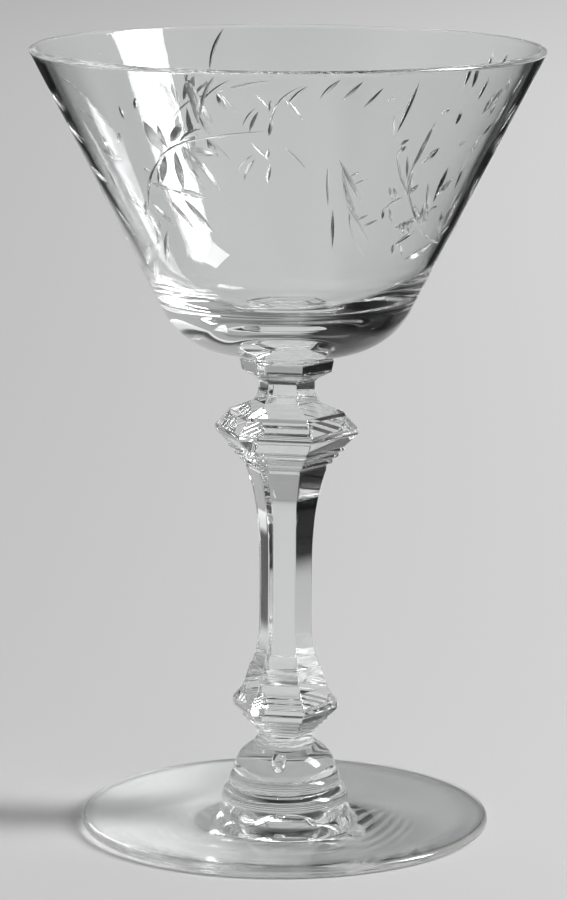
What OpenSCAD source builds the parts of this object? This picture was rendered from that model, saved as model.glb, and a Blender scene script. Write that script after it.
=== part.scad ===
// Stemmed cocktail glass.
// A blown bowl with a straight flare stands on a pressed, six sided stem. The stem has a
// collar, a neck, and a stepped knop above and below a shaft with hollow sides. It is fused
// to a round knop that holds one air bubble. A ring joins that knop to a wide disc foot.
// Measures are in millimetres. Z 0 is the table, and the Z axis is the axis of the glass.

/* [Bowl] */
// Width of the rim, outside
rim_d = 90.4; // [78:0.1:100]
// Height of the bowl, from its seat on the collar to the rim
bowl_h = 55.1; // [50:0.1:62]
// Lean of the straight wall, in degrees from upright
flare = 27; // [23:0.5:30]
// Thickness of the blown wall
wall_t = 1.3; // [0.9:0.1:2]
// Thickness of the solid glass between the seat and the cavity
base_t = 7.3; // [5:0.1:9]
// Width of the cavity's flat floor, inside the large turn up to its wall
cavity_floor_d = 12; // [6:0.5:16]
// Slope at which the underside leaves the collar, in degrees
underside_rise = 12; // [4:1:20]

/* [Stem] */
// Turn of the six facets about the axis, in degrees
facet_turn = -10; // [-30:1:30]
// Radius of the fire polished corners between the facets
corner_r = 0.45; // [0.2:0.05:0.8]
// Width of the collar under the bowl, across opposite corners
collar_d = 17.1; // [15:0.1:22]
// Height of the collar
collar_h = 4; // [3:0.1:6]
// Width of the neck, across corners
neck_d = 10.3; // [8.5:0.1:11.5]
// Height of the neck
neck_h = 3.5; // [2.5:0.1:6]
// Width of the upper knop, across corners
upper_knop_d = 26.1; // [22:0.1:32]
// Height of the upper knop
upper_knop_h = 12.4; // [9:0.1:16]
// Width of the shaft where it leaves the upper knop, across corners
shaft_top_d = 14.7; // [12:0.1:17]
// Width of the shaft at its waist, across corners
waist_d = 9.6; // [7:0.1:11.5]
// Width of the shaft where it meets the lower knop, across corners
shaft_foot_d = 12.6; // [11:0.1:15]
// Height of the shaft
shaft_h = 35.9; // [28:0.1:60]
// Width of the lower knop, across corners
lower_knop_d = 19.3; // [17:0.1:26]
// Height of the lower knop
lower_knop_h = 12.2; // [9:0.1:16]
// Number of tiers under each knop
tiers = 4; // [2:1:6]
// Width of the peg that ends the stem, across corners
peg_d = 11; // [9.5:0.1:12.5]
// Height of the peg
peg_h = 2.1; // [1.5:0.1:3]

/* [Base knop] */
// Width of the round knop
base_knop_d = 18.4; // [17:0.1:22]
// Height of the round knop, with its bead
base_knop_h = 7.75; // [7:0.05:10]
// Slope at which its top falls away from the peg, in degrees
shoulder_slope = 35; // [28:1:42]
// Radius of its round shoulder
shoulder_r = 2.6; // [1.6:0.1:3]
// Height of the bead round its foot
bead_h = 2.4; // [1.5:0.1:2.5]
// How far the bead stands out of the knop
bead_out = 0.5; // [0.3:0.05:0.9]
// Width of the air bubble
bubble_d = 2; // [1:0.1:3]
// Distance of the bubble from the axis
bubble_out = 1; // [0:0.1:2]

/* [Foot] */
// Width of the ring between the knop and the foot
ring_d = 22.8; // [21:0.1:26]
// Height of the ring
ring_h = 2.85; // [2.4:0.05:4]
// Radius of the ring's round side
ring_turn = 2.3; // [1.6:0.1:2.8]
// Width of the foot
foot_d = 73.4; // [64:0.1:84]
// Thickness of the foot at its edge
foot_edge_t = 1.8; // [1.4:0.1:2.4]
// Thickness of the foot where the ring stands
foot_centre_t = 4.2; // [3:0.1:5]
// How far the foot's top dips below a straight slope
foot_dip = 0.3; // [0.1:0.05:0.6]
// Width of the flat band that the glass stands on
stand_w = 4; // [2:0.5:8]
// Rise of the hollow under the middle of the foot
hollow_h = 0.8; // [0.3:0.05:1.2]

/* [Hidden] */

round_sides = 96;
stem_sides = 6;
half_side = 180 / stem_sides;
inscribed_share = cos(half_side);

// Number of straight steps along each sort of curve
lip_steps = 8;
underside_steps = 14;
cavity_steps = 16;
shoulder_steps = 10;
bulge_steps = 10;
edge_steps = 8;
flare_steps = 9;
corner_steps = 2;

// Heights at which the pieces and the parts of the stem meet
ring_z = foot_centre_t;
base_knop_z = ring_z + ring_h;
peg_z = base_knop_z + base_knop_h;
lower_knop_z = peg_z + peg_h;
shaft_z = lower_knop_z + lower_knop_h;
upper_knop_z = shaft_z + shaft_h;
neck_z = upper_knop_z + upper_knop_h;
collar_z = neck_z + neck_h;
bowl_z = collar_z + collar_h;

// Outlines of the stem's parts, as pairs of a height share and a radius share
peg_shares = [[0, 1], [0.2, 1], [0.36, 0.93], [0.97, 0.93]];
lower_crown_shares = [[0.357, 1], [0.467, 1], [0.648, 0.825], [0.68, 0.795], [0.926, 0.7], [0.985, 0.68]];
upper_crown_shares = [[0.53, 1], [0.605, 1], [0.79, 0.825], [0.84, 0.8], [0.985, 0.455]];
neck_shares = [[0, 1.13], [0.24, 1.05], [0.4, 1], [0.96, 1]];
collar_shares = [[0, 0.62], [0.12, 0.68], [0.42, 0.955], [0.93, 1], [1, 0.965]];

// Height of the tiers as a share of their knop, and the widest tier as a share of its radius
lower_tiers_share = 0.246;
upper_tiers_share = 0.38;
widest_tier_share = 0.81;
// Upright part of each tier, as a share of its height
riser_share = 0.6;

// Height of the shaft's waist as a share of the shaft, and how late the sides flare out
waist_share = 0.37;
top_flare_power = 3.2;
foot_flare_power = 4.6;
crowding_power = 1.6;

// Radius of the collar's top face up to the middle of a facet, where the bowl is seated
bowl_seat_r = collar_d / 2 * collar_shares[4][1] * inscribed_share;
// Radius of the round knop's top face, which reaches just past the corners of the peg
peg_margin = 0.1;
peg_seat_r = peg_d / 2 + peg_margin;
// Radius of the ring's top face as a share of its widest
ring_top_share = 0.86;
ring_top_r = ring_top_share * ring_d / 2;
// Centre of the ring's round side, and the radius at which the side meets the foot
ring_core_r = ring_d / 2 - ring_turn;
ring_widest_h = ring_h - sqrt(pow(ring_turn, 2) - pow(ring_top_r - ring_core_r, 2));
ring_foot_turn = -asin(ring_widest_h / ring_turn);
ring_foot_r = ring_core_r + ring_turn * cos(ring_foot_turn);
// Height of the bubble as a share of the round knop, and its direction from the axis
bubble_share = 0.4;
bubble_turn = 200;

// Points of an arc about a centre, between two angles
function arc(centre, r, from, to, steps) =
    [for (i = [0:steps])
        let (a = from + (to - from) * i / steps)
        centre + r * [cos(a), sin(a)]];

// Points of an arc that swells out of the straight line from a to b, or dips below it if out is
// negative. It swells to the right of the way from a to b.
function bulge(a, b, out, steps) =
    let (
        chord = norm(b - a),
        r = (chord * chord / 4 + out * out) / (2 * out),
        along = (b - a) / chord,
        side = [along.y, -along.x],
        centre = (a + b) / 2 - side * (r - out),
        spread = acos((r - out) / r)
    )
    [for (i = [0:steps])
        let (t = spread * (2 * i / steps - 1) * sign(out))
        centre + r * (side * cos(t) + along * sin(t))];

// Levels of one part of the stem, each a height and a corner radius
function levels(shares, z, h, r) = [for (s = shares) [z + s[0] * h, s[1] * r]];

// Levels of tiers that widen upwards, each with an upright riser and a sloping tread
function tier_levels(z, h, low_r, high_r) =
    [for (k = [0:tiers - 1], s = [0, riser_share])
        [z + (k + s) * h / tiers, low_r + (high_r - low_r) * k / (tiers - 1)]];

// Levels of the shaft below and above its waist, closer together towards its ends
function foot_flare_levels() =
    [for (i = [0:flare_steps])
        let (u = pow(i / flare_steps, crowding_power))
        [
            shaft_z + u * waist_share * shaft_h,
            waist_d / 2 + (shaft_foot_d - waist_d) / 2 * pow(1 - u, foot_flare_power)
        ]];
function top_flare_levels() =
    [for (i = [1:flare_steps])
        let (u = 1 - pow(1 - i / (flare_steps + 1), crowding_power))
        [
            shaft_z + (waist_share + u * (1 - waist_share)) * shaft_h,
            waist_d / 2 + (shaft_top_d - waist_d) / 2 * pow(u, top_flare_power)
        ]];

// Six sided section with rounded corners, from its corner radius
function section(r) =
    let (core = r - corner_r)
    [for (k = [0:stem_sides - 1], i = [0:corner_steps])
        let (
            corner = k * 2 * half_side + facet_turn,
            a = corner + half_side * (2 * i / corner_steps - 1)
        )
        core * [cos(corner), sin(corner)] + corner_r * [cos(a), sin(a)]];

// Solid skinned over the sections at a list of levels, going up
module loft(list) {
    rings = [for (l = list) [for (p = section(l[1])) [p.x, p.y, l[0]]]];
    count = len(rings[0]);
    last = (len(rings) - 1) * count;
    polyhedron(
        points = [for (ring = rings, p = ring) p],
        faces = concat(
            [[for (i = [0:count - 1]) i]],
            [for (k = [0:len(rings) - 2], i = [0:count - 1])
                let (j = (i + 1) % count)
                [k * count + i, (k + 1) * count + i, (k + 1) * count + j, k * count + j]],
            [[for (i = [count - 1:-1:0]) last + i]]
        )
    );
}

// Blown bowl, with a straight flare, a round underside, a cavity whose wall thickens towards its
// floor, and a round lip
module bowl() {
    lip = [(rim_d - wall_t) / 2, bowl_h - wall_t / 2];
    across = [cos(flare), -sin(flare)];
    outer = lip + across * wall_t / 2;
    inner = lip - across * wall_t / 2;

    // The underside's arc leaves the collar at its slope and runs into the flare smoothly
    seat_to_wall = (outer.x - outer.y * tan(flare) - bowl_seat_r) * cos(flare);
    underside_r = seat_to_wall / (1 - cos(90 - flare - underside_rise));
    underside_centre = [bowl_seat_r, 0] + underside_r * [-sin(underside_rise), cos(underside_rise)];

    // The cavity's arc runs smoothly into the floor and into the inner wall, which would meet
    // the floor at the corner without it
    corner_x = inner.x - (inner.y - base_t) * tan(flare);
    cavity_turn = (corner_x - cavity_floor_d / 2) / tan((90 - flare) / 2);

    color("aliceblue")
    translate([0, 0, bowl_z])
    rotate_extrude($fn = round_sides)
    polygon(concat(
        [[0, 0]],
        arc(underside_centre, underside_r, underside_rise - 90, -flare, underside_steps),
        arc(lip, wall_t / 2, -flare, 180 - flare, lip_steps),
        arc([cavity_floor_d / 2, base_t + cavity_turn], cavity_turn, -flare, -90, cavity_steps),
        [[0, base_t]]
    ));
}

// Pressed stem in one piece, with its peg, lower knop, shaft, upper knop, neck and collar
module stem() {
    peg_r = peg_d / 2;
    lower_r = lower_knop_d / 2;
    upper_r = upper_knop_d / 2;
    lower_tiers_h = lower_tiers_share * lower_knop_h;
    upper_tiers_h = upper_tiers_share * upper_knop_h;

    color("lightsteelblue")
    loft(concat(
        levels(peg_shares, peg_z, peg_h, peg_r),
        tier_levels(lower_knop_z, lower_tiers_h, peg_r, widest_tier_share * lower_r),
        levels(lower_crown_shares, lower_knop_z, lower_knop_h, lower_r),
        foot_flare_levels(),
        top_flare_levels(),
        tier_levels(upper_knop_z, upper_tiers_h, shaft_top_d / 2, widest_tier_share * upper_r),
        levels(upper_crown_shares, upper_knop_z, upper_knop_h, upper_r),
        levels(neck_shares, neck_z, neck_h, neck_d / 2),
        levels(collar_shares, collar_z, collar_h, collar_d / 2)
    ));
}

// Round knop between the stem and the ring, with a bead round its foot and a bubble inside
module base_knop() {
    knop_r = base_knop_d / 2;
    core_r = knop_r - shoulder_r;
    slope_r = core_r + shoulder_r * sin(shoulder_slope);
    slope_h = (slope_r - peg_seat_r) * tan(shoulder_slope);
    shoulder_centre = [core_r, base_knop_h - slope_h - shoulder_r * cos(shoulder_slope)];

    color("powderblue")
    translate([0, 0, base_knop_z])
    difference() {
        rotate_extrude($fn = round_sides)
        polygon(concat(
            [[0, 0]],
            bulge([ring_top_r, 0], [knop_r, bead_h], bead_out, bulge_steps),
            arc(shoulder_centre, shoulder_r, 0, 90 - shoulder_slope, shoulder_steps),
            [[peg_seat_r, base_knop_h], [0, base_knop_h]]
        ));
        rotate(bubble_turn)
        translate([bubble_out, 0, bubble_share * base_knop_h])
        sphere(d = bubble_d, $fn = round_sides);
    }
}

// Ring that joins the round knop to the foot
module foot_ring() {
    top_turn = acos((ring_top_r - ring_core_r) / ring_turn);

    color("lightblue")
    translate([0, 0, ring_z])
    rotate_extrude($fn = round_sides)
    polygon(concat(
        [[0, 0]],
        arc([ring_core_r, ring_widest_h], ring_turn, ring_foot_turn, top_turn, bulge_steps),
        [[0, ring_h]]
    ));
}

// Disc foot, thin at its round edge, with a flat band to stand on and a hollow underneath
module foot() {
    edge_r = foot_edge_t / 2;
    edge_centre = [foot_d / 2 - edge_r, edge_r];
    edge_turn = 90 - atan2(foot_centre_t - foot_edge_t, edge_centre.x - ring_foot_r);
    edge_top = edge_centre + edge_r * [cos(edge_turn), sin(edge_turn)];
    stand_r = edge_centre.x - stand_w;
    hollow_r = (pow(stand_r, 2) + pow(hollow_h, 2)) / (2 * hollow_h);
    hollow_turn = asin(stand_r / hollow_r);

    color("azure")
    rotate_extrude($fn = round_sides)
    polygon(concat(
        arc([0, hollow_h - hollow_r], hollow_r, 90, 90 - hollow_turn, bulge_steps),
        arc(edge_centre, edge_r, -90, edge_turn, edge_steps),
        bulge(edge_top, [ring_foot_r, foot_centre_t], -foot_dip, bulge_steps),
        [[0, foot_centre_t]]
    ));
}

bowl();
stem();
base_knop();
foot_ring();
foot();
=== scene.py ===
"""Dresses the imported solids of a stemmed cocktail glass: cut bowl, pressed stem, knop, ring, foot."""

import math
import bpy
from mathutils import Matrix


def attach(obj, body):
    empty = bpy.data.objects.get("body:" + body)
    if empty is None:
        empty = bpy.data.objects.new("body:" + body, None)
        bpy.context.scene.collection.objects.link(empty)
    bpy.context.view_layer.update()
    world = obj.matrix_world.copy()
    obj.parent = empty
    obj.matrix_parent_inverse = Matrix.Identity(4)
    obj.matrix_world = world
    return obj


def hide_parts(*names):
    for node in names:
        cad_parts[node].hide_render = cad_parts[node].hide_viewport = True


bl_info = {
    "name": "Stemmed Cocktail Glass",
    "version": (1, 0, 0),
    "blender": (4, 5, 0),
    "location": "3D View > Sidebar > Cocktail Glass",
    "description": "Clear glass with a cut bowl on a six sided stem, standing on a pale floor",
    "category": "Add Mesh",
}

from typing import NamedTuple

import bmesh
import bpy
from bpy.props import (
    FloatProperty,
    FloatVectorProperty,
    IntProperty,
    PointerProperty,
)
from mathutils import Matrix, Vector

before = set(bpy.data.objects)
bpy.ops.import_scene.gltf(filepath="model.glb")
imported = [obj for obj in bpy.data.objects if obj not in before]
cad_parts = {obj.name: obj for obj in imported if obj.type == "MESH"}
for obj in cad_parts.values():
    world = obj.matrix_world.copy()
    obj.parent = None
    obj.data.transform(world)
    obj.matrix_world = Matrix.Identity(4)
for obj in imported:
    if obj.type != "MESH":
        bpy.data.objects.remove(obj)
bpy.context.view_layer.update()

MM = 0.001
BODY = "root"

# Steps, shares of a size and small allowances, which stay the same at any size
ROUND_STEPS = 192
WIDE_STEPS = 256
SHAFT_STEPS = 22
SHAFT_CROWDING = 1.3
HALF_SIDE = math.radians(30)
PEG_SHARES = ((0, 1), (0.2, 1), (0.36, 0.93), (0.97, 0.93))
LOWER_CROWN_SHARES = ((0.357, 1), (0.467, 1), (0.648, 0.825), (0.68, 0.795), (0.926, 0.7), (0.985, 0.68))
UPPER_CROWN_SHARES = ((0.53, 1), (0.605, 1), (0.79, 0.825), (0.84, 0.8), (0.985, 0.455))
NECK_SHARES = ((0, 1.13), (0.24, 1.05), (0.4, 1), (0.96, 1))
COLLAR_SHARES = ((0, 0.62), (0.12, 0.68), (0.42, 0.955), (0.93, 1), (1, 0.965))
LOWER_TIERS_SHARE = 0.246
UPPER_TIERS_SHARE = 0.38
WIDEST_TIER_SHARE = 0.81
RISER_SHARE = 0.6
WAIST_SHARE = 0.37
TOP_FLARE_POWER = 3.2
FOOT_FLARE_POWER = 4.6
RING_TOP_SHARE = 0.86
BUBBLE_SHARE = 0.32
EDGE_ROUND = 0.3 * MM
GIRDLE_ROUND = 1.1 * MM
LEAST_ROUND_SHARE = 0.04
PEG_MARGIN = 0.1 * MM
SEAM_MARGIN = 0.04 * MM
FLOOR_GAP = 0.1 * MM
NEAR = 0.001 * MM

SHARP_ANGLE = math.radians(32)
SEAM, GROUND = 1, 2

# Textures of the glass: scales in waves per metre, depths in metres
DUST_SCALE = 900
GRIT_SCALE = 2500
GRIT_DEPTH = 0.01 * MM

# Where light passes the glass to the floor: under the shaft's foot, and across the disc foot
LIT_UNDER_SHAFT = (6 * MM, 10 * MM)
LIT_ACROSS = (-20 * MM, 10 * MM)
LIT_LEFT = 0.97
LIT_RIGHT_SHARE = 0.3
LIT_EDGE = 0.4 * MM


class PaintedShadeSide(NamedTuple):
    """A dim side of the floor, painted dark as painted shade in place of a dark room, in metres: its inner
    edge, how that slants backwards, and its front.
    """

    way: float
    slant: float
    edge: tuple
    front: tuple


class Pane(NamedTuple):
    """A soft pane of the window, in metres, with its rise and its share of the power."""

    name: str
    width: float
    height: float
    distance: float
    rise: float
    share: float


class Cut(NamedTuple):
    """One touch of the cutting wheel, in degrees and in millimetres on the outside of the bowl."""

    turn: float
    height: float
    tilt: float
    length: float
    width: float
    bend: float = 0
    lean: float = 0


# The front half's sprays, which the back half mirrors but for the crown. Turns run from the front to
# the right, heights from the seat.
VINE = (
    Cut(-40, 34.3, 56, 13.2, 0.7, 0.9), Cut(-28, 40.8, 26, 11.6, 0.7, 0.9), Cut(-13, 43.7, 9, 12, 0.6, 0.3),
    Cut(42, 29.5, -51, 10.8, 0.6, -0.6), Cut(56, 24, -24, 10, 0.6, -0.5),
)
CROWN = (
    Cut(-22, 49.9, 93, 9.6, 1.9, -0.7, 0.6), Cut(-16, 51.3, 40, 7.9, 0.6, 0.4),
    Cut(0, 49.3, 53, 9.8, 0.5, 1.5), Cut(2, 50.9, 49, 5.3, 0.8, 0.2), Cut(9, 52, 50, 4.9, 0.8, 0.2),
    Cut(14, 51.7, 49, 4.7, 0.6), Cut(19, 50.4, 53, 5, 0.5),
)
LEFT_SPRAY = (
    Cut(-18, 50.4, 65, 9.4, 0.7, 0.6), Cut(-35, 42.8, 108, 6.4, 2.6, 0, 0.5),
    Cut(-32, 42.9, 98, 5.2, 1.2, 0.3), Cut(-28, 43.8, 52, 5.1, 1.6, 0, 0.5),
    Cut(-24, 43.5, 30, 5.8, 1.2, 0.3), Cut(-25, 39.7, -55, 5.6, 1.4, 0, 0.5),
    Cut(-26, 38.6, -72, 6.6, 1.6, 0, 0.5), Cut(-30, 37.1, -94, 8.3, 1.6, 0, -0.5),
    Cut(-35, 37.1, -115, 6.4, 1.4, 0, -0.5), Cut(-19, 41.5, -69, 3.8, 1.4),
    Cut(-17, 41.3, -53, 5.1, 0.5), Cut(-29, 32.8, -10, 7, 1.6, 0.3, 0.5), Cut(-38, 33.8, -12, 4.5, 0.9),
    Cut(-34, 29.2, -59, 8.1, 1, 0.2), Cut(-28, 29.1, -59, 8.1, 1.4, 0.2, 0.5),
    Cut(-41, 28.7, -51, 6.2, 1), Cut(-47, 26.8, -76, 5.1, 0.9), Cut(-60, 20.1, -137, 6.5, 1.2, 0, 0.4),
    Cut(-59, 17.4, -130, 7.8, 1.6, 0, 0.4), Cut(-47, 42, -118, 2.4, 1), Cut(-54, 40.6, -89, 3, 1),
    Cut(-52, 30.2, -45, 2.4, 1), Cut(-48, 29.4, -119, 3.7, 0.9), Cut(-70, 34, -20, 7.5, 1.7, 0, 0.5),
    Cut(-74, 41, -30, 7, 1.4), Cut(-76, 46.5, -35, 6.5, 1.4), Cut(-66, 26, -60, 6, 1.3),
    Cut(-80, 30, -75, 6, 1.3),
)
FRONT_STROKES = (
    Cut(-11, 38.8, 50, 5.1, 0.5, 0.3), Cut(-10, 37.8, 64, 4.8, 0.7, 0.2), Cut(-7, 41.2, -50, 4.5, 0.5),
    Cut(-5, 40.7, -102, 2.4, 0.6), Cut(-5, 37.2, -100, 4.3, 0.7), Cut(2, 39.9, -51, 5.6, 0.7),
)
RIGHT_SPRAY = (
    Cut(36, 41.1, 80, 10.3, 0.9), Cut(30, 42.2, 37, 1.9, 0.7, 0.2), Cut(33, 37.8, -74, 5.1, 0.5),
    Cut(46, 28.4, 110, 5.4, 1.4, 0, 0.5), Cut(51, 33.3, 46, 4.5, 1.4, 0, 0.5), Cut(59, 25.8, 126, 7.9, 1.2),
    Cut(53, 21.6, 23, 7.3, 1.7, -0.2, 0.5), Cut(42, 24.6, 33, 4.6, 1, 0.2), Cut(39, 26.2, -56, 2.9, 0.7),
    Cut(41, 26.3, -49, 2.7, 0.7), Cut(42, 22.4, -58, 3.2, 0.7), Cut(38, 22.7, -80, 2.4, 0.7),
    Cut(63, 28.7, 91, 7.1, 1.7, 0, -0.5), Cut(65, 24.6, 30, 2.8, 0.9), Cut(38, 33.6, 52, 2.3, 0.9),
    Cut(22, 27.8, -54, 10.3, 0.9), Cut(23, 25.8, -63, 12, 0.9, -0.8), Cut(14, 27.1, -84, 8.3, 0.6),
    Cut(23, 29, 31, 2.3, 0.5), Cut(26, 27.9, 26, 2.9, 0.5), Cut(57, 40.3, 87, 3.4, 1.2),
    Cut(50, 41, 24, 2.1, 0.9), Cut(57, 47.4, 89, 4.5, 1.2), Cut(63, 45.6, 83, 4.7, 1),
    Cut(54, 47.6, 79, 4.5, 1), Cut(59, 50.6, 97, 3, 0.9), Cut(65, 50.4, 72, 3.6, 1),
    Cut(72, 44, 60, 6, 1.2), Cut(78, 39, 40, 5.5, 1.2), Cut(74, 31, 110, 6, 1.4), Cut(82, 24, 60, 5, 1.2),
)
CUTS = VINE + CROWN + LEFT_SPRAY + FRONT_STROKES + RIGHT_SPRAY

# Greys of the room by degrees from +Y towards +X, near the horizon, above it and overhead
LOW_ROOM = (
    (-180, 0.35), (-150, 0.42), (-125, 0.15), (-105, 0.01), (-14, 0.01), (-7, 0.34), (15, 0.38),
    (30, 0.4), (60, 0.45), (90, 0.4), (120, 0.4), (150, 0.25), (180, 0.35),
)
MID_ROOM = (
    (-180, 0.03), (-150, 0.04), (-125, 0.35), (-105, 0.2), (-85, 0.01), (-45, 0.01), (-30, 0.12),
    (-15, 0.05), (10, 0.01), (30, 0.3), (60, 0.5), (90, 0.5), (120, 0.6), (150, 0.4), (180, 0.03),
)
HIGH_ROOM = (
    (-180, 0.03), (-60, 0.01), (-45, 0.3), (-30, 0.47), (0, 0.47), (25, 0.1), (60, 0.18),
    (100, 0.08), (150, 0.28), (180, 0.03),
)
# Sines of the angle above the horizon between which one band of the room turns into the next
LOW_TO_MID = (0.28, 0.4)
MID_TO_HIGH = (0.62, 0.78)

# The floor reaches this far from the glass on each side, and its painted light changes between these
# places, in metres
FLOOR_REACH = 4
FLOOR_SIDES = (-0.3, 0.3)
FLOOR_FAR = (0.2, 1.8)
# Sides of the floor painted near black as painted shade, in place of a dark room; only the glass sees them
DIM_LEFT = PaintedShadeSide(-1, 0.06, (0.115, 0.16), (0.05, 0.13))
DIM_RIGHT = PaintedShadeSide(1, 0.14, (0.055, 0.09), (-0.17, -0.13))
DIM_RIGHT_END = (0.4, 0.28)
DIM_BACK_END = (1.0, 0.7)
PAINTED_SHADE_GREY = 0.01

PANES = (
    Pane("Window", 1.5, 2.4, 3.97, 0.6, 0.45),
    Pane("Window middle", 0.8, 1.6, 3.984, 0.45, 0.55),
)
WINDOW_WAY = (0.79, -0.03)
WINDOW_AIM = Vector((0, 0, 0.1))

FRAME_WIDTH = 36
CAMERA_SIDE = -0.5 * MM
CLIP_START, CLIP_END = 0.01, 20
BOUNCES = 96
CLEAR_BOUNCES = 64


def length(name, default, description):
    """A length in metres, given in millimetres."""
    return FloatProperty(
        name=name, description=description, default=default * MM, min=0, precision=5,
        subtype="DISTANCE", unit="LENGTH",
    )


def angle(name, default, description):
    """An angle, given in degrees."""
    return FloatProperty(
        name=name, description=description, default=math.radians(default),
        subtype="ANGLE", unit="ROTATION",
    )


class BowlSizes(bpy.types.PropertyGroup):
    """Sizes of the blown bowl"""

    rim_width: length("Rim width", 90.4, "Width of the rim, outside")
    height: length("Height", 55.1, "Height from the seat on the collar to the rim")
    flare: angle("Flare", 27, "Lean of the straight wall from upright")
    wall: length("Wall", 1.3, "Thickness of the blown wall")
    base: length("Base", 6.3, "Solid glass between the seat and the cavity")
    cavity_floor: length("Cavity floor", 12, "Width of the cavity's flat floor, inside its large turn")
    rise: angle("Underside rise", 15, "Slope at which the underside leaves the collar")
    under: length("Underside turn", 14.6, "Radius of the turn from the underside to the wall")
    mitre: FloatProperty(
        name="Mitre", description="Depth of a cut as a share of its width", default=0.3, min=0.05, max=0.5,
    )
    deepest: length("Deepest cut", 0.5, "Depth that no cut passes")


class StemSizes(bpy.types.PropertyGroup):
    """Sizes of the pressed stem, with widths across opposite corners"""

    turn: angle("Facet turn", -10, "Turn of the six facets about the axis")
    corner: length("Corner radius", 0.45, "Radius of the fire polished corners")
    collar_width: length("Collar width", 17.1, "Width of the collar under the bowl")
    collar_height: length("Collar height", 4, "Height of the collar")
    neck_width: length("Neck width", 10.3, "Width of the neck")
    neck_height: length("Neck height", 3.5, "Height of the neck")
    upper_knop_width: length("Upper knop width", 26.1, "Width of the upper knop")
    upper_knop_height: length("Upper knop height", 12.4, "Height of the upper knop")
    shaft_top_width: length("Shaft top width", 14.7, "Width where the shaft leaves the upper knop")
    waist_width: length("Waist width", 9.6, "Width of the shaft at its waist")
    shaft_foot_width: length("Shaft foot width", 12.6, "Width where the shaft meets the lower knop")
    shaft_height: length("Shaft height", 35.9, "Height of the shaft")
    lower_knop_width: length("Lower knop width", 19.3, "Width of the lower knop")
    lower_knop_height: length("Lower knop height", 12.2, "Height of the lower knop")
    tiers: IntProperty(name="Tiers", description="Tiers under each knop", default=4, min=2)
    peg_width: length("Peg width", 11, "Width of the peg that ends the stem")
    peg_height: length("Peg height", 2.1, "Height of the peg")


class KnopSizes(bpy.types.PropertyGroup):
    """Sizes of the round knop with its air bubble"""

    width: length("Width", 18.4, "Width of the round knop")
    height: length("Height", 7.75, "Height of the round knop, with its bead")
    slope: angle("Shoulder slope", 35, "Slope at which the top falls away from the peg")
    shoulder: length("Shoulder radius", 5.2, "Radius of the round shoulder")
    bead_height: length("Bead height", 2.4, "Height of the bead round the knop's foot")
    bead_out: length("Bead reach", 0.5, "How far the bead stands out")
    bubble_width: length("Bubble width", 1.9, "Width of the air bubble")
    bubble_out: length("Bubble distance", 0.8, "Distance of the bubble from the axis")
    bubble_turn: angle("Bubble direction", 200, "Direction of the bubble from the axis")


class FootSizes(bpy.types.PropertyGroup):
    """Sizes of the ring and the disc foot"""

    ring_width: length("Ring width", 22.8, "Width of the ring under the knop")
    ring_height: length("Ring height", 2.85, "Height of the ring")
    ring_turn: length("Ring turn", 2.3, "Radius of the ring's round side")
    width: length("Foot width", 73.4, "Width of the foot")
    edge: length("Edge thickness", 1.8, "Thickness of the foot at its edge")
    centre: length("Centre thickness", 4.2, "Thickness of the foot under the ring")
    dip: length("Dip", 0.3, "How far the top dips below a straight slope")
    band: length("Standing band", 4, "Width of the flat band that the glass stands on")
    hollow: length("Hollow", 0.8, "Rise of the hollow under the middle of the foot")


class GlassFinish(bpy.types.PropertyGroup):
    """Look of the clear glass"""

    tint: FloatVectorProperty(
        name="Tint", description="Colour of the clear glass", default=(0.97, 0.98, 0.98),
        min=0, max=1, subtype="COLOR",
    )
    index: FloatProperty(name="Refraction", description="Index of refraction", default=1.52, min=1)
    passing: FloatProperty(
        name="Passing light", default=0.88, min=0, max=1,
        description="Share of the window's light that a low surface passes to the floor",
    )


class StageLook(bpy.types.PropertyGroup):
    """Floor, light and camera"""

    # The floor is painted darker on the left and lighter on the right, towards the window, as painted light
    # and shade
    floor_left: FloatVectorProperty(
        name="Floor, left", description="Colour of the floor on the left of the glass",
        default=(0.5, 0.5, 0.5), min=0, max=1, subtype="COLOR",
    )
    floor_right: FloatVectorProperty(
        name="Floor, right", description="Colour of the floor on the right of the glass",
        default=(0.66, 0.66, 0.66), min=0, max=1, subtype="COLOR",
    )
    # The floor is painted lighter far behind the glass, as painted light where the window's light falls off
    floor_far: FloatVectorProperty(
        name="Floor, far", description="Colour that the floor nears far behind the glass",
        default=(0.85, 0.85, 0.85), min=0, max=1, subtype="COLOR",
    )
    far_share: FloatProperty(
        name="Far share", description="How much of the far colour the floor takes on", default=0.35,
        min=0, max=1, subtype="FACTOR",
    )
    window_power: FloatProperty(
        name="Window", description="Power of the light from the window", default=255, min=0,
        subtype="POWER", unit="POWER",
    )
    camera_distance: length("Camera distance", 703.1, "Distance of the camera from the axis")
    camera_height: length("Camera height", 204.9, "Height of the camera above the floor")
    camera_tilt: angle("Camera tilt", 11.005, "How far the camera looks down")
    camera_roll: angle("Camera roll", 0.27, "Turn of the camera about its own view")
    camera_lens: FloatProperty(
        name="Lens", description="Focal length in millimetres", default=160.95, min=1,
    )


class CocktailGlass(bpy.types.PropertyGroup):
    """Everything that shapes the glass and its stage"""

    bowl: PointerProperty(type=BowlSizes)
    stem: PointerProperty(type=StemSizes)
    knop: PointerProperty(type=KnopSizes)
    foot: PointerProperty(type=FootSizes)
    finish: PointerProperty(type=GlassFinish)
    stage: PointerProperty(type=StageLook)


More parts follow.
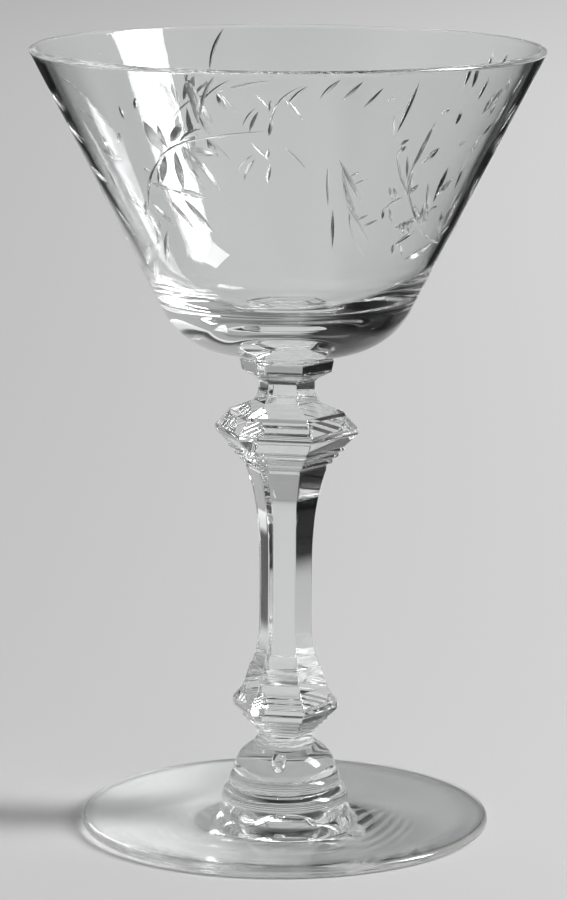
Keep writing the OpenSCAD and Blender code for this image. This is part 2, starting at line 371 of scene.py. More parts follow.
def heights(glass):
    """Heights above the floor at which the pieces and the parts of the stem meet."""
    stem, knop, foot = glass.stem, glass.knop, glass.foot
    steps = (
        ("ring", foot.centre),
        ("knop", foot.ring_height),
        ("peg", knop.height),
        ("lower_knop", stem.peg_height),
        ("shaft", stem.lower_knop_height),
        ("upper_knop", stem.shaft_height),
        ("neck", stem.upper_knop_height),
        ("collar", stem.neck_height),
        ("bowl", stem.collar_height),
    )
    found, z = {}, 0
    for name, step in steps:
        z += step
        found[name] = z
    return found


def seat_radius(stem):
    """Radius of the bowl's seat, up to the middle of the collar's facets."""
    return stem.collar_width / 2 * COLLAR_SHARES[-1][1] * math.cos(HALF_SIDE)


def ring_side(foot):
    """Centre of the ring's round side, with the angles at which it meets the foot and the knop."""
    core = foot.ring_width / 2 - foot.ring_turn
    out = RING_TOP_SHARE * foot.ring_width / 2 - core
    widest = foot.ring_height - math.sqrt(foot.ring_turn**2 - out**2)
    low = -math.asin(widest / foot.ring_turn)
    high = math.acos(out / foot.ring_turn)
    return (core, widest), low, high


def arc(centre, radius, start, end, steps):
    """Points of an arc about a centre, as pairs of a radius and a height."""
    turns = [start + (end - start) * i / steps for i in range(steps + 1)]
    return [(centre[0] + radius * math.cos(a), centre[1] + radius * math.sin(a)) for a in turns]


def bulge(a, b, out, steps):
    """Points of an arc that swells to the right of the way from a to b, or dips if out is negative."""
    a, b = Vector(a), Vector(b)
    chord = (b - a).length
    radius = (chord * chord / 4 + out * out) / (2 * out)
    along = (b - a) / chord
    side = Vector((along.y, -along.x))
    centre = (a + b) / 2 - side * (radius - out)
    spread = math.copysign(math.acos((radius - out) / radius), out)
    turns = [spread * (2 * i / steps - 1) for i in range(steps + 1)]
    return [tuple(centre + radius * (side * math.cos(t) + along * math.sin(t))) for t in turns]


def straight(a, b, steps):
    """Points between a and b, without either."""
    return [
        (a[0] + (b[0] - a[0]) * i / steps, a[1] + (b[1] - a[1]) * i / steps)
        for i in range(1, steps)
    ]


def softened(points, radius, rounder=(), steps=4):
    """The outline with its inner corners rounded, as fire polish does, and some of them rounder."""
    out = [points[0]]
    for before, here, after in zip(points, points[1:], points[2:]):
        before, here, after = Vector(before), Vector(here), Vector(after)
        turn = (here - before).angle(after - here)
        reach = (GIRDLE_ROUND if tuple(here) in rounder else radius) * math.tan(turn / 2)
        reach = min(reach, (here - before).length / 2, (after - here).length / 2)
        if reach < radius * LEAST_ROUND_SHARE:
            out.append(tuple(here))
            continue
        first = here + (before - here).normalized() * reach
        last = here + (after - here).normalized() * reach
        for i in range(steps + 1):
            t = i / steps
            out.append(tuple(first * (1 - t) ** 2 + here * 2 * t * (1 - t) + last * t * t))
    out.append(points[-1])
    return out


def turned(profile, steps=ROUND_STEPS):
    """A closed shell spun from an outline that starts and ends on the axis."""
    bm = bmesh.new()
    verts = [bm.verts.new((r, 0, z)) for r, z in profile]
    edges = [bm.edges.new(pair) for pair in zip(verts, verts[1:])]
    bmesh.ops.spin(
        bm, geom=verts + edges, cent=(0, 0, 0), axis=(0, 0, 1), angle=math.tau, steps=steps,
        use_merge=True, use_duplicate=False,
    )
    bmesh.ops.remove_doubles(bm, verts=bm.verts, dist=NEAR)
    bmesh.ops.recalc_face_normals(bm, faces=bm.faces)
    return bm


def fuse_level(bm, z, radius):
    """Marks the faces of a flat seat, where two pieces of glass are melted into one."""
    for face in bm.faces:
        if all(abs(v.co.z - z) < NEAR and v.co.xy.length < radius for v in face.verts):
            face.material_index = SEAM


def groove(cut, depth):
    """A pointed lens along X with a mitred lower edge, as the rim of a cutting wheel sweeps it."""
    steps = 12
    half = cut.length * MM / 2
    bm = bmesh.new()
    along = [2 * i / steps - 1 for i in range(steps + 1)]
    verts = [bm.verts.new((half * x, 1 - x * x, 0)) for x in along]
    edges = [bm.edges.new(pair) for pair in zip(verts, verts[1:])]
    bmesh.ops.spin(
        bm, geom=verts + edges, cent=(0, 0, 0), axis=(1, 0, 0), angle=math.tau, steps=4,
        use_merge=True, use_duplicate=False,
    )
    wide = cut.width * MM / 2
    shape = Matrix(((1, 0, 0, 0), (0, wide, cut.lean * wide, 0), (0, 0, depth, 0), (0, 0, 0, 1)))
    bmesh.ops.transform(bm, matrix=shape, verts=bm.verts)
    bmesh.ops.remove_doubles(bm, verts=bm.verts, dist=NEAR)
    bmesh.ops.recalc_face_normals(bm, faces=bm.faces)
    for vert in bm.verts:
        vert.co.y += cut.bend * MM * (1 - (vert.co.x / half) ** 2)
    bmesh.ops.rotate(bm, matrix=Matrix.Rotation(math.radians(cut.tilt), 3, "Z"), verts=bm.verts)
    return bm


def wrapped(bm, turn, height, base_radius, flare):
    """Lays a flat shape on a cone that is base_radius wide at height 0, keeping all its lengths."""
    for vert in bm.verts:
        reach = (base_radius + height * math.tan(flare)) / math.sin(flare) + vert.co.y
        slant = math.hypot(vert.co.x, reach)
        way = math.radians(turn) + math.atan2(vert.co.x, reach) / math.sin(flare)
        radius = slant * math.sin(flare) + vert.co.z * math.cos(flare)
        rise = slant * math.cos(flare) - base_radius / math.tan(flare) - vert.co.z * math.sin(flare)
        vert.co = (radius * math.sin(way), -radius * math.cos(way), rise)


def scratch_object(bm, name):
    """An object for the length of a cut, made from the bmesh."""
    mesh = bpy.data.meshes.new(name)
    bm.to_mesh(mesh)
    bm.free()
    made = bpy.data.objects.new(name, mesh)
    bpy.context.scene.collection.objects.link(made)
    return made


def wheel_cut(bm, bowl, base_z, base_radius):
    """The bowl with its sprays ground out of the outside."""
    shell = scratch_object(bm, "shell")
    wheels = []
    for number, cut in enumerate(CUTS):
        touch = groove(cut, min(cut.width * bowl.mitre * MM, bowl.deepest))
        wrapped(touch, cut.turn, cut.height * MM, base_radius, bowl.flare)
        bmesh.ops.translate(touch, verts=touch.verts, vec=(0, 0, base_z))
        if cut not in CROWN:
            shape = touch.verts[:] + touch.edges[:] + touch.faces[:]
            bmesh.ops.mirror(touch, geom=shape, matrix=Matrix.Identity(4), merge_dist=-1, axis="Y")
            bmesh.ops.recalc_face_normals(touch, faces=touch.faces)
        for face in touch.faces:
            face.material_index = GROUND
        wheel = scratch_object(touch, f"wheel_{number}")
        grind = shell.modifiers.new(wheel.name, "BOOLEAN")
        grind.operation = "DIFFERENCE"
        grind.solver = "MANIFOLD"
        grind.material_mode = "INDEX"
        grind.object = wheel
        wheels.append(wheel)
    for item in [shell, *wheels]:
        for _ in range(GROUND + 1):
            item.data.materials.append(None)
    view = bpy.context.evaluated_depsgraph_get()
    cut_mesh = bpy.data.meshes.new_from_object(shell.evaluated_get(view))
    done = bmesh.new()
    done.from_mesh(cut_mesh)
    for item in [shell, *wheels]:
        spent = item.data
        bpy.data.objects.remove(item)
        bpy.data.meshes.remove(spent)
    bpy.data.meshes.remove(cut_mesh)
    return done


def finish_piece(name, node, bm, materials):
    """Makes the piece from its bmesh and gives it its materials and its place in the frame."""
    for face in bm.faces:
        face.smooth = True
    for edge in bm.edges:
        a, b = edge.link_faces
        edge.smooth = a.material_index == b.material_index and edge.calc_face_angle() < SHARP_ANGLE
    mesh = bpy.data.meshes.new(name)
    bm.to_mesh(mesh)
    bm.free()
    for material in materials:
        mesh.materials.append(material)
    piece = bpy.data.objects.new(name, mesh)
    bpy.context.scene.collection.objects.link(piece)
    weighted = piece.modifiers.new("Even facets", "WEIGHTED_NORMAL")
    weighted.mode = "FACE_AREA"
    weighted.keep_sharp = True
    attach(piece, BODY)
    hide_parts(node)


class Shading:
    """Builds the nodes of one material or world."""

    def __init__(self, owner):
        owner.use_nodes = True
        self.owner = owner
        self.nodes, self.links = owner.node_tree.nodes, owner.node_tree.links

    def feed(self, socket, value):
        """Gives a socket a number, a colour or another node's output."""
        if isinstance(value, bpy.types.NodeSocket):
            self.links.new(value, socket)
        else:
            socket.default_value = value

    def add(self, kind, output, **inputs):
        """A node with its inputs fed, by its output."""
        node = self.nodes.new("ShaderNode" + kind)
        for key, value in inputs.items():
            self.feed(node.inputs[key.replace("_", " ")], value)
        return node.outputs[output]

    def math(self, operation, *values):
        """The result of a sum on numbers or outputs."""
        node = self.nodes.new("ShaderNodeMath")
        node.operation = operation
        for socket, value in zip(node.inputs, values):
            self.feed(socket, value)
        return node.outputs["Value"]

    def smooth(self, value, low, high):
        """Rises smoothly from 0 to 1 between two limits."""
        node = self.nodes.new("ShaderNodeMapRange")
        node.interpolation_type = "SMOOTHSTEP"
        node.inputs["From Min"].default_value = low
        node.inputs["From Max"].default_value = high
        self.feed(node.inputs["Value"], value)
        return node.outputs["Result"]

    def spread(self, value, low, high, start=0, end=1):
        """Carries a value from its own range into another."""
        return self.add(
            "MapRange", "Result", Value=value, From_Min=start, From_Max=end, To_Min=low, To_Max=high,
        )

    def blend(self, factor, a, b):
        """A mix of two colours by a factor."""
        node = self.nodes.new("ShaderNodeMix")
        node.data_type = "RGBA"
        self.feed(node.inputs["Factor"], factor)
        first, second = (i for i in node.inputs if i.type == "RGBA")
        self.feed(first, a)
        self.feed(second, b)
        return next(o for o in node.outputs if o.type == "RGBA")

    def around(self, value, greys):
        """Greys that change with a direction, given as a share of a turn where a half is +Y."""
        node = self.nodes.new("ShaderNodeValToRGB")
        elements = node.color_ramp.elements
        for turn, grey in greys[1:-1]:
            elements.new(turn / 360 + 0.5).color = (grey, grey, grey, 1)
        for element, (_, grey) in ((elements[0], greys[0]), (elements[-1], greys[-1])):
            element.color = (grey, grey, grey, 1)
        self.feed(node.inputs["Fac"], value)
        return node.outputs["Color"]

    def split(self, vector):
        """The X, Y and Z of a vector."""
        node = self.nodes.new("ShaderNodeSeparateXYZ")
        self.feed(node.inputs["Vector"], vector)
        return node.outputs["X"], node.outputs["Y"], node.outputs["Z"]


def plain_glass(name, finish):
    """Clear glass without its texture, and its shader."""
    shading = Shading(bpy.data.materials.new(name))
    shader = shading.nodes["Principled BSDF"]
    shader.inputs["Base Color"].default_value = (*finish.tint, 1)
    shader.inputs["Transmission Weight"].default_value = 1
    shader.inputs["IOR"].default_value = finish.index
    return shading, shader


def clear_glass(name, finish, grain, ripple):
    """Clear glass with a faint ripple left by the mould or the blowing, and a little dust."""
    shading, shader = plain_glass(name, finish)
    place = shading.add("TexCoord", "Object")
    dust = shading.add("TexNoise", "Fac", Vector=place, Scale=DUST_SCALE, Detail=3)
    dusty = shading.spread(dust, low=0, high=0.08, start=0.55, end=0.9)
    shading.feed(shader.inputs["Roughness"], dusty)
    waves = shading.add("TexNoise", "Fac", Vector=place, Scale=grain, Detail=1)
    bump = shading.add("Bump", "Normal", Height=waves, Strength=1, Distance=ripple)
    shading.feed(shader.inputs["Normal"], bump)
    return shading.owner


def ground_glass(name, finish):
    """Cuts left half polished by the wheel, with fine scratches that scatter some light."""
    shading, shader = plain_glass(name, finish)
    place = shading.add("TexCoord", "Object")
    grit = shading.add("TexNoise", "Fac", Vector=place, Scale=GRIT_SCALE, Detail=2)
    shading.feed(shader.inputs["Roughness"], shading.spread(grit, low=0.05, high=0.35))
    bump = shading.add("Bump", "Normal", Height=grit, Strength=1, Distance=GRIT_DEPTH)
    shading.feed(shader.inputs["Normal"], bump)
    return shading.owner


def lit_through(glass, share):
    """Lets a share of the window's light through the glass, which brightens the floor behind it."""
    shading = Shading(glass)
    place = shading.add("TexCoord", "Object")
    mix = shading.nodes.new("ShaderNodeMixShader")
    shadow = shading.add("LightPath", "Is Shadow Ray")
    shading.feed(mix.inputs["Fac"], shading.math("MULTIPLY", shadow, share(shading, place)))
    shading.feed(mix.inputs[1], shading.nodes["Principled BSDF"].outputs["BSDF"])
    shading.feed(mix.inputs[2], shading.add("BsdfTransparent", "BSDF"))
    shading.feed(shading.nodes["Material Output"].inputs["Surface"], mix.outputs["Shader"])


def fused_seam(finish):
    """Where two pieces are melted together there is no surface, so nothing shows."""
    found = bpy.data.materials.get("Fused seam")
    if found:
        return found
    shading, shader = plain_glass("Fused seam", finish)
    shader.inputs["Alpha"].default_value = 0
    return shading.owner


class GLASS_OT_bowl(bpy.types.Operator):
    """Blow the bowl and cut its leaf sprays"""

    bl_idname = "glass.bowl"
    bl_label = "Bowl"
    bl_options = {"REGISTER", "UNDO"}

    def execute(self, context):
        glass = context.scene.cocktail_glass
        bowl, z = glass.bowl, heights(glass)["bowl"]
        seat = seat_radius(glass.stem)
        flare = bowl.flare
        lip = Vector(((bowl.rim_width - bowl.wall) / 2, bowl.height - bowl.wall / 2))
        across = Vector((math.cos(flare), -math.sin(flare))) * bowl.wall / 2
        outer, inner = lip + across, lip - across
        wall_foot = outer.x - outer.y * math.tan(flare)
        slant = math.tan(flare) * math.tan(bowl.rise)
        meet = (wall_foot - slant * seat) / (1 - slant)
        reach = bowl.under * math.tan((math.pi / 2 - flare - bowl.rise) / 2)
        start = Vector((meet, (meet - seat) * math.tan(bowl.rise)))
        start -= reach * Vector((math.cos(bowl.rise), math.sin(bowl.rise)))
        centre = start + bowl.under * Vector((-math.sin(bowl.rise), math.cos(bowl.rise)))
        floor_r = bowl.cavity_floor / 2
        corner = inner.x - (inner.y - bowl.base) * math.tan(flare)
        turn = (corner - floor_r) / math.tan((math.pi / 2 - flare) / 2)
        underside = arc(centre, bowl.under, bowl.rise - math.pi / 2, -flare, steps=40)
        rim = arc(lip, bowl.wall / 2, -flare, math.pi - flare, steps=14)
        cavity = arc((floor_r, bowl.base + turn), turn, -flare, -math.pi / 2, steps=48)
        profile = [(0, 0), (seat - SEAM_MARGIN, 0), (seat, 0)]
        profile += straight((seat, 0), underside[0], steps=8) + underside
        profile += straight(underside[-1], rim[0], steps=16) + rim
        profile += straight(rim[-1], cavity[0], steps=16) + cavity + [(0, bowl.base)]
        bm = turned(profile, WIDE_STEPS)
        bmesh.ops.translate(bm, verts=bm.verts, vec=(0, 0, z))
        fuse_level(bm, z, seat - SEAM_MARGIN / 2)
        bm = wheel_cut(bm, bowl, z, wall_foot)
        blown = clear_glass("Blown glass", glass.finish, grain=70, ripple=0.06 * MM)
        ground = ground_glass("Wheel cut glass", glass.finish)
        finish_piece(
            "cut_bowl", "bowl", bm, [blown, fused_seam(glass.finish), ground],
        )
        return {"FINISHED"}


def tiers(stem, z, height, low, high):
    """Levels of tiers that widen upwards, each with an upright riser and a sloping tread."""
    found = []
    for k in range(stem.tiers):
        radius = low + (high - low) * k / (stem.tiers - 1)
        found += [(radius, z + (k + s) * height / stem.tiers) for s in (0, RISER_SHARE)]
    return found


def levels(shares, z, height, radius):
    """Levels of one part of the stem, from its shares."""
    return [(share * radius, z + level * height) for level, share in shares]


def girdle(crown):
    """The two corners at a knop's widest, as the outline's vectors hold them."""
    return [tuple(Vector(corner)) for corner in crown[:2]]


def stem_outline(glass):
    """Corner radius and height of each level of the stem, going up."""
    stem, at = glass.stem, heights(glass)
    lower, upper = stem.lower_knop_width / 2, stem.upper_knop_width / 2
    waist = stem.waist_width / 2
    shaft = []
    for i in range(SHAFT_STEPS + 1):
        u = (i / SHAFT_STEPS) ** SHAFT_CROWDING
        out = (stem.shaft_foot_width / 2 - waist) * (1 - u) ** FOOT_FLARE_POWER
        shaft.append((waist + out, at["shaft"] + u * WAIST_SHARE * stem.shaft_height))
    for i in range(1, SHAFT_STEPS):
        u = 1 - (1 - i / SHAFT_STEPS) ** SHAFT_CROWDING
        out = (stem.shaft_top_width / 2 - waist) * u**TOP_FLARE_POWER
        rise = (WAIST_SHARE + u * (1 - WAIST_SHARE)) * stem.shaft_height
        shaft.append((waist + out, at["shaft"] + rise))
    peg = levels(PEG_SHARES, at["peg"], stem.peg_height, stem.peg_width / 2)
    lower_tiers = tiers(
        stem, at["lower_knop"], LOWER_TIERS_SHARE * stem.lower_knop_height,
        stem.peg_width / 2, WIDEST_TIER_SHARE * lower,
    )
    lower_crown = levels(LOWER_CROWN_SHARES, at["lower_knop"], stem.lower_knop_height, lower)
    upper_tiers = tiers(
        stem, at["upper_knop"], UPPER_TIERS_SHARE * stem.upper_knop_height,
        stem.shaft_top_width / 2, WIDEST_TIER_SHARE * upper,
    )
    upper_crown = levels(UPPER_CROWN_SHARES, at["upper_knop"], stem.upper_knop_height, upper)
    neck = levels(NECK_SHARES, at["neck"], stem.neck_height, stem.neck_width / 2)
    collar = levels(COLLAR_SHARES, at["collar"], stem.collar_height, stem.collar_width / 2)
    low = peg + lower_tiers + lower_crown + shaft[:1]
    low = softened(low, EDGE_ROUND, rounder=girdle(lower_crown))
    high = shaft[-1:] + upper_tiers + upper_crown + neck + collar
    high = softened(high, EDGE_ROUND, rounder=girdle(upper_crown))
    return low + shaft[1:-1] + high


def six_sides(bm, stem, z, radius):
    """The corners of a new six sided face that lies flat."""
    place = Matrix.Translation((0, 0, z)) @ Matrix.Rotation(stem.turn + HALF_SIDE, 4, "Z")
    made = bmesh.ops.create_circle(bm, segments=6, radius=radius, cap_ends=True, matrix=place)
    return made["verts"]


class GLASS_OT_stem(bpy.types.Operator):
    """Press the six sided stem with its collar, knops, tiers and peg"""

    bl_idname = "glass.stem"
    bl_label = "Stem"
    bl_options = {"REGISTER", "UNDO"}

    def execute(self, context):
        glass = context.scene.cocktail_glass
        stem = glass.stem
        outline = stem_outline(glass)
        bm = bmesh.new()
        radius, z = outline[0]
        six_sides(bm, stem, z, radius)
        peg = top = next(iter(bm.faces))
        for next_radius, next_z in outline[1:]:
            made = bmesh.ops.extrude_face_region(bm, geom=[top])["geom"]
            if top is not peg:
                bmesh.ops.delete(bm, geom=[top], context="FACES_ONLY")
            top = next(g for g in made if isinstance(g, bmesh.types.BMFace))
            bmesh.ops.scale(bm, vec=(next_radius / radius, next_radius / radius, 1), verts=top.verts[:])
            bmesh.ops.translate(bm, vec=(0, 0, next_z - z), verts=top.verts[:])
            radius, z = next_radius, next_z
        upright = [e for e in bm.edges if abs(e.verts[0].co.z - e.verts[1].co.z) > NEAR / 100]
        bmesh.ops.bevel(
            bm, geom=upright, offset=stem.corner * math.tan(HALF_SIDE), offset_type="OFFSET",
            segments=4, profile=0.5, affect="EDGES", material=-1, clamp_overlap=False,
        )
        bmesh.ops.recalc_face_normals(bm, faces=bm.faces)
        low, high = outline[0][1], outline[-1][1]
        for face in bm.faces:
            if all(abs(v.co.z - low) < NEAR for v in face.verts):
                face.material_index = SEAM
        cap = [f for f in bm.faces if all(abs(v.co.z - high) < NEAR for v in f.verts)]
        edges = [e for f in cap for e in f.edges]
        bmesh.ops.delete(bm, geom=cap, context="FACES_ONLY")
        seat = bmesh.ops.create_circle(
            bm, segments=96, radius=seat_radius(stem) - SEAM_MARGIN, cap_ends=True,
            matrix=Matrix.Translation((0, 0, high)),
        )["verts"]
        seam = next(f for f in bm.faces if all(v in seat for v in f.verts))
        seam.material_index = SEAM
        bmesh.ops.bridge_loops(bm, edges=edges + list(seam.edges))
        bmesh.ops.recalc_face_normals(bm, faces=bm.faces)
        pressed = clear_glass("Pressed glass", glass.finish, grain=140, ripple=0.02 * MM)
        lit_through(pressed, self.share(glass))
        finish_piece("pressed_stem", "stem", bm, [pressed, fused_seam(glass.finish)])
        return {"FINISHED"}

    def share(self, glass):
        """Only the foot of the stem lets light through, so the rest keeps its shadow."""
        shaft = heights(glass)["shaft"]
        start, full = (shaft - down for down in LIT_UNDER_SHAFT)

        def passed(shading, place):
            low = shading.smooth(shading.split(place)[2], start, full)
            return shading.math("MULTIPLY", low, glass.finish.passing)

        return passed


class GLASS_OT_base_knop(bpy.types.Operator):
    """Turn the round knop with its bead and its air bubble"""

    bl_idname = "glass.base_knop"
    bl_label = "Round knop"
    bl_options = {"REGISTER", "UNDO"}

    def execute(self, context):
        glass = context.scene.cocktail_glass
        knop, stem, foot, at = glass.knop, glass.stem, glass.foot, heights(glass)
        radius = knop.width / 2
        core = radius - knop.shoulder
        peg_seat = stem.peg_width / 2 + PEG_MARGIN
        slope_r = core + knop.shoulder * math.sin(knop.slope)
        slope_h = (slope_r - peg_seat) * math.tan(knop.slope)
        centre_z = knop.height - slope_h - knop.shoulder * math.cos(knop.slope)
        ring_top = RING_TOP_SHARE * foot.ring_width / 2
        profile = [(0, 0)]
        profile += bulge((ring_top, 0), (radius, knop.bead_height), knop.bead_out, steps=16)
        profile += straight((radius, knop.bead_height), (radius, centre_z), steps=3)
        profile += arc((core, centre_z), knop.shoulder, 0, math.pi / 2 - knop.slope, steps=20)
        profile += straight((slope_r, knop.height - slope_h), (peg_seat, knop.height), steps=4)
        profile += [(peg_seat, knop.height), (0, knop.height)]
        bm = turned(profile)
        bmesh.ops.translate(bm, verts=bm.verts, vec=(0, 0, at["knop"]))
        fuse_level(bm, at["knop"], ring_top + SEAM_MARGIN)
        cap = [f for f in bm.faces if all(abs(v.co.z - at["peg"]) < NEAR for v in f.verts)]
        edges = [e for f in cap for e in f.edges if any(o not in cap for o in e.link_faces)]
        bmesh.ops.delete(bm, geom=cap, context="FACES")
        verts = six_sides(bm, stem, at["peg"], stem.peg_width / 2)
        bmesh.ops.bevel(
            bm, geom=verts, offset=stem.corner * math.tan(HALF_SIDE), offset_type="OFFSET",
            segments=4, profile=0.5, affect="VERTICES", material=-1, clamp_overlap=False,
        )
        seam = max(bm.faces, key=lambda face: len(face.verts))
        seam.material_index = SEAM
        bmesh.ops.bridge_loops(bm, edges=edges + list(seam.edges))
        bmesh.ops.recalc_face_normals(bm, faces=bm.faces)
        out = Vector((math.cos(knop.bubble_turn), math.sin(knop.bubble_turn), 0)) * knop.bubble_out
        place = Matrix.Translation(out + Vector((0, 0, at["knop"] + BUBBLE_SHARE * knop.height)))
        void = bmesh.ops.create_uvsphere(
            bm, u_segments=48, v_segments=24, radius=knop.bubble_width / 2, matrix=place,
        )["verts"]
        inner = [f for f in bm.faces if f.verts[0] in set(void)]
        bmesh.ops.reverse_faces(bm, faces=inner)
        tooled = clear_glass("Tooled glass", glass.finish, grain=120, ripple=0.02 * MM)
        lit_through(tooled, lambda shading, place: glass.finish.passing)
        finish_piece("round_knop", "base_knop", bm, [tooled, fused_seam(glass.finish)])
        return {"FINISHED"}


class GLASS_OT_foot_ring(bpy.types.Operator):
    """Turn the ring that joins the knop to the foot"""

    bl_idname = "glass.foot_ring"
    bl_label = "Ring"
    bl_options = {"REGISTER", "UNDO"}

    def execute(self, context):
        glass = context.scene.cocktail_glass
        foot, at = glass.foot, heights(glass)
        centre, low, high = ring_side(foot)
        side = arc(centre, foot.ring_turn, low, high, steps=28)
        bm = turned([(0, 0)] + side + [(0, foot.ring_height)])
        bmesh.ops.translate(bm, verts=bm.verts, vec=(0, 0, at["ring"]))
        fuse_level(bm, at["ring"], foot.ring_width)
        fuse_level(bm, at["knop"], foot.ring_width)
        wound = clear_glass("Wound glass", glass.finish, grain=120, ripple=0.02 * MM)
        lit_through(wound, lambda shading, place: glass.finish.passing)
        finish_piece("turned_ring", "foot_ring", bm, [wound, fused_seam(glass.finish)])
        return {"FINISHED"}


class GLASS_OT_foot(bpy.types.Operator):
    """Turn the disc foot with its round edge and hollow underside"""

    bl_idname = "glass.foot"
    bl_label = "Foot"
    bl_options = {"REGISTER", "UNDO"}

    def execute(self, context):
        glass = context.scene.cocktail_glass
        foot = glass.foot
        centre, low, high = ring_side(foot)
        ring_r = centre[0] + foot.ring_turn * math.cos(low)
        edge_r = foot.edge / 2
        edge = (foot.width / 2 - edge_r, edge_r)
        edge_turn = math.pi / 2 - math.atan2(foot.centre - foot.edge, edge[0] - ring_r)
        stand = edge[0] - foot.band
        hollow_r = (stand**2 + foot.hollow**2) / (2 * foot.hollow)
        hollow_turn = math.asin(stand / hollow_r)
        hollow_edge = math.pi / 2 - hollow_turn
        under = arc((0, foot.hollow - hollow_r), hollow_r, math.pi / 2, hollow_edge, steps=28)
        rim = arc(edge, edge_r, -math.pi / 2, edge_turn, steps=20)
        top = bulge(rim[-1], (ring_r, foot.centre), -foot.dip, steps=28)
        profile = under + straight(under[-1], rim[0], steps=3) + rim + top[1:] + [(0, foot.centre)]
        bm = turned(profile, WIDE_STEPS)
        fuse_level(bm, foot.centre, ring_r + SEAM_MARGIN)
        spun = clear_glass("Spun glass", glass.finish, grain=50, ripple=0.02 * MM)
        lit_through(spun, self.share(glass))
        finish_piece("disc_foot", "foot", bm, [spun, fused_seam(glass.finish)])
        return {"FINISHED"}

    def share(self, glass):
        """More light passes on the left, behind the knop, and none passes the round edge."""
        edge = glass.foot.width / 2 - glass.foot.edge
        right = glass.finish.passing * LIT_RIGHT_SHARE

        def passed(shading, place):
            x, y, _ = shading.split(place)
            squares = shading.math("MULTIPLY_ADD", x, x, shading.math("MULTIPLY", y, y))
            out = shading.math("SQRT", squares)
            side = shading.spread(shading.smooth(x, *LIT_ACROSS), LIT_LEFT, right)
            return shading.math("MULTIPLY", side, shading.smooth(out, edge + LIT_EDGE, edge - LIT_EDGE))

        return passed


def painted_shade_side(shading, x, y, side):
    """1 on a dim side of the floor, painted dark as painted shade, and 0 off it, with soft edges."""
    out = shading.math("MULTIPLY_ADD", y, -side.slant, shading.math("MULTIPLY", x, side.way))
    return shading.math("MULTIPLY", shading.smooth(out, *side.edge), shading.smooth(y, *side.front))


def floor_material(look):
    """Pale floor, painted lighter to the right and far behind as painted light, whose dim sides, painted
    dark as painted shade, only the glass sees, in place of a dark room.
    """
    shading = Shading(bpy.data.materials.new("Pale floor"))
    shader = shading.nodes["Principled BSDF"]
    x, y, _ = shading.split(shading.add("TexCoord", "Object"))
    # Painted light: the floor grows lighter to the right, towards the window, and far behind the glass
    across = shading.smooth(x, *FLOOR_SIDES)
    pale = shading.blend(across, (*look.floor_left, 1), (*look.floor_right, 1))
    far = shading.spread(shading.smooth(y, *FLOOR_FAR), 0, look.far_share)
    pale = shading.blend(far, pale, (*look.floor_far, 1))
    # Painted shade: the floor's dim sides, near black, which the camera doesn't see directly but the glass
    # does
    right = painted_shade_side(shading, x, y, DIM_RIGHT)
    right = shading.math("MULTIPLY", right, shading.smooth(x, *DIM_RIGHT_END))
    right = shading.math("MULTIPLY", right, shading.smooth(y, *DIM_BACK_END))
    sides = shading.math("MAXIMUM", painted_shade_side(shading, x, y, DIM_LEFT), right)
    seen = shading.add("LightPath", "Is Camera Ray")
    dim = shading.math("MULTIPLY", sides, shading.math("SUBTRACT", 1, seen))
    dark = (PAINTED_SHADE_GREY, PAINTED_SHADE_GREY, PAINTED_SHADE_GREY, 1)
    shading.feed(shader.inputs["Base Color"], shading.blend(dim, pale, dark))
    shader.inputs["Roughness"].default_value = 0.9
    shader.inputs["Specular IOR Level"].default_value = 0
    return shading.owner


def room_light():
    """A dim room with a pale wall on the right, a pale strip behind and some light overhead."""
    world = bpy.data.worlds.new("Dim room")
    bpy.context.scene.world = world
    shading = Shading(world)
    x, y, z = shading.split(shading.add("TexCoord", "Generated"))
    turn = shading.math("MULTIPLY_ADD", shading.math("ARCTAN2", x, y), 1 / math.tau, 0.5)
    low, mid, high = (shading.around(turn, greys) for greys in (LOW_ROOM, MID_ROOM, HIGH_ROOM))
    room = shading.blend(shading.smooth(z, *LOW_TO_MID), low, mid)
    room = shading.blend(shading.smooth(z, *MID_TO_HIGH), room, high)
    shading.feed(shading.nodes["Background"].inputs["Color"], room)


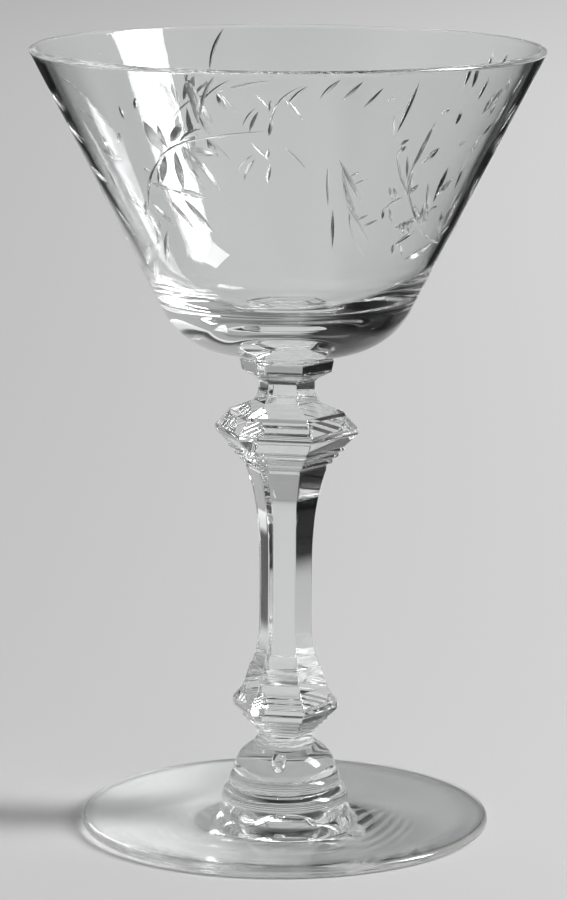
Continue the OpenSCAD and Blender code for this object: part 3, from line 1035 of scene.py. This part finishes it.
class GLASS_OT_stage(bpy.types.Operator):
    """Lay the floor, light the glass and place the camera"""

    bl_idname = "glass.stage"
    bl_label = "Stage"
    bl_options = {"REGISTER", "UNDO"}

    def execute(self, context):
        glass = context.scene.cocktail_glass
        look = glass.stage
        scene = bpy.context.scene
        bm = bmesh.new()
        bmesh.ops.create_grid(bm, x_segments=2, y_segments=2, size=FLOOR_REACH)
        bmesh.ops.translate(bm, verts=bm.verts, vec=(0, 0, -FLOOR_GAP))
        mesh = bpy.data.meshes.new("floor")
        bm.to_mesh(mesh)
        bm.free()
        mesh.materials.append(floor_material(look))
        floor = bpy.data.objects.new("floor", mesh)
        scene.collection.objects.link(floor)
        room_light()
        self.window(look)
        self.camera(look)
        scene.view_settings.view_transform = "Standard"
        scene.cycles.max_bounces = BOUNCES
        scene.cycles.transmission_bounces = BOUNCES
        scene.cycles.glossy_bounces = BOUNCES
        scene.cycles.transparent_max_bounces = CLEAR_BOUNCES
        return {"FINISHED"}

    def window(self, look):
        """A tall soft window, high on the right and brightest in its middle."""
        for pane in PANES:
            way = Vector((*WINDOW_WAY, pane.rise)).normalized()
            lamp = bpy.data.lights.new(pane.name, "AREA")
            lamp.shape = "RECTANGLE"
            lamp.size = pane.width
            lamp.size_y = pane.height
            lamp.energy = look.window_power * pane.share
            window = bpy.data.objects.new(pane.name, lamp)
            bpy.context.scene.collection.objects.link(window)
            window.location = way * pane.distance + WINDOW_AIM
            window.rotation_mode = "QUATERNION"
            window.rotation_quaternion = way.to_track_quat("Z", "Y")

    def camera(self, look):
        """A long lens in front of the glass, a little above it."""
        data = bpy.data.cameras.new("Camera")
        data.lens = look.camera_lens
        data.sensor_width = FRAME_WIDTH
        data.clip_start, data.clip_end = CLIP_START, CLIP_END
        camera = bpy.data.objects.new("Camera", data)
        bpy.context.scene.collection.objects.link(camera)
        camera.location = (CAMERA_SIDE, -look.camera_distance, look.camera_height)
        tilt = Matrix.Rotation(math.pi / 2 - look.camera_tilt, 4, "X")
        camera.rotation_euler = (tilt @ Matrix.Rotation(look.camera_roll, 4, "Z")).to_euler()
        bpy.context.scene.camera = camera


class GLASS_PT_sidebar(bpy.types.Panel):
    """Lists the pieces of the glass"""

    bl_idname = "GLASS_PT_sidebar"
    bl_label = "Cocktail Glass"
    bl_space_type = "VIEW_3D"
    bl_region_type = "UI"
    bl_category = "Cocktail Glass"

    def draw(self, context):
        glass = context.scene.cocktail_glass
        parts = (
            (GLASS_OT_stage, glass.stage),
            (GLASS_OT_bowl, glass.bowl),
            (GLASS_OT_stem, glass.stem),
            (GLASS_OT_base_knop, glass.knop),
            (GLASS_OT_foot_ring, None),
            (GLASS_OT_foot, glass.foot),
        )
        for operator, sizes in parts:
            box = self.layout.box()
            box.operator(operator.bl_idname)
            if sizes:
                for key in sizes.__annotations__:
                    box.prop(sizes, key)


CLASSES = (
    BowlSizes, StemSizes, KnopSizes, FootSizes, GlassFinish, StageLook, CocktailGlass,
    GLASS_OT_stage, GLASS_OT_bowl, GLASS_OT_stem, GLASS_OT_base_knop, GLASS_OT_foot_ring,
    GLASS_OT_foot, GLASS_PT_sidebar,
)


def register():
    """Adds the classes and the scene's settings."""
    for cls in CLASSES:
        bpy.utils.register_class(cls)
    bpy.types.Scene.cocktail_glass = PointerProperty(type=CocktailGlass)


def unregister():
    """Takes them away again."""
    del bpy.types.Scene.cocktail_glass
    for cls in reversed(CLASSES):
        bpy.utils.unregister_class(cls)


def main():
    """Builds the whole scene."""
    register()
    bpy.ops.glass.stage()
    bpy.ops.glass.bowl()
    bpy.ops.glass.stem()
    bpy.ops.glass.base_knop()
    bpy.ops.glass.foot_ring()
    bpy.ops.glass.foot()


if __name__ == "__main__":
    main()
